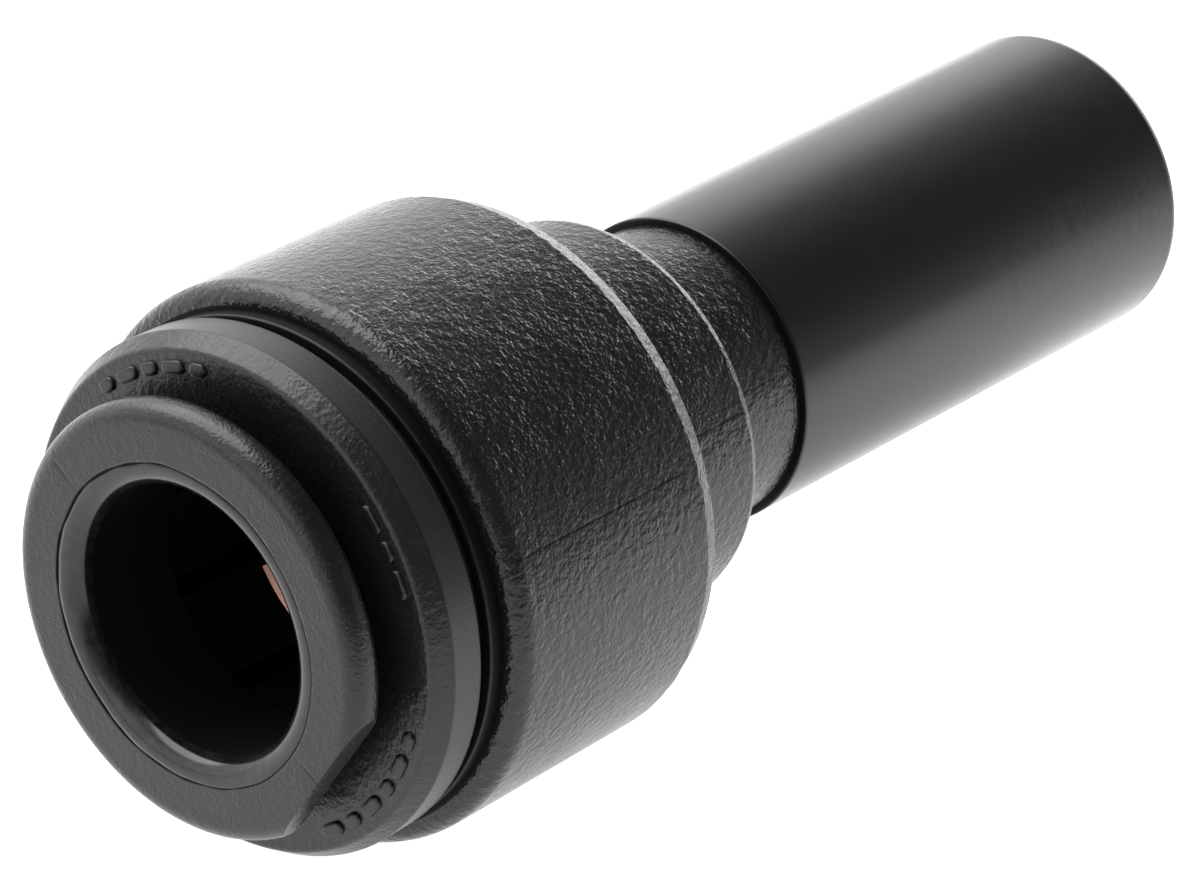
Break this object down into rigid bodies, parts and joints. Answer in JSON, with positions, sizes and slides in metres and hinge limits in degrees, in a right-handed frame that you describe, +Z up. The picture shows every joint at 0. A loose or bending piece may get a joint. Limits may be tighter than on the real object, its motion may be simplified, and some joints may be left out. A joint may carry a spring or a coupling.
{
  "type": "push to connect fitting",
  "caption": "Straight push-in tube reducer: a plain stem at one end, a tube socket with a sliding release collet at the other.",
  "frame": {"origin": "on the axis at the stem's shoulder, where the mouth of the socket that takes the stem stops", "axes": "+X along the axis from the tube socket's mouth to the stem's free end, +Z up, +Y to the left when looking along +X"},
  "size_m": [0.0498, 0.0212, 0.0212],
  "materials": {
    "body_plastic": "black acetal, spark-eroded texture on barrel and collar, smooth on the stem",
    "cap_plastic": "black acetal, textured face and bevel, smooth rim",
    "collet_plastic": "black acetal, textured outer face, smooth bore and lead-in",
    "washer_plastic": "smooth black acetal",
    "seal_rubber": "black nitrile rubber",
    "tooth_metal": "bright stamped metal strip with a copper tint"
  },
  "bodies": {
    "housing": {"body": "body_plastic", "end_cap": "cap_plastic", "spacer_washer": "washer_plastic", "o_ring": "seal_rubber"},
    "collet": {"collet": "collet_plastic", "grip_tooth_1": "tooth_metal", "grip_tooth_2": "tooth_metal", "grip_tooth_3": "tooth_metal", "grip_tooth_4": "tooth_metal", "grip_tooth_5": "tooth_metal", "grip_tooth_6": "tooth_metal", "grip_tooth_7": "tooth_metal", "grip_tooth_8": "tooth_metal"}
  },
  "joints": [
    {"name": "collet_slide", "type": "slide", "parent": "housing", "child": "collet", "axis": [1, 0, 0], "range_m": [0, 0.0011]}
  ]
}
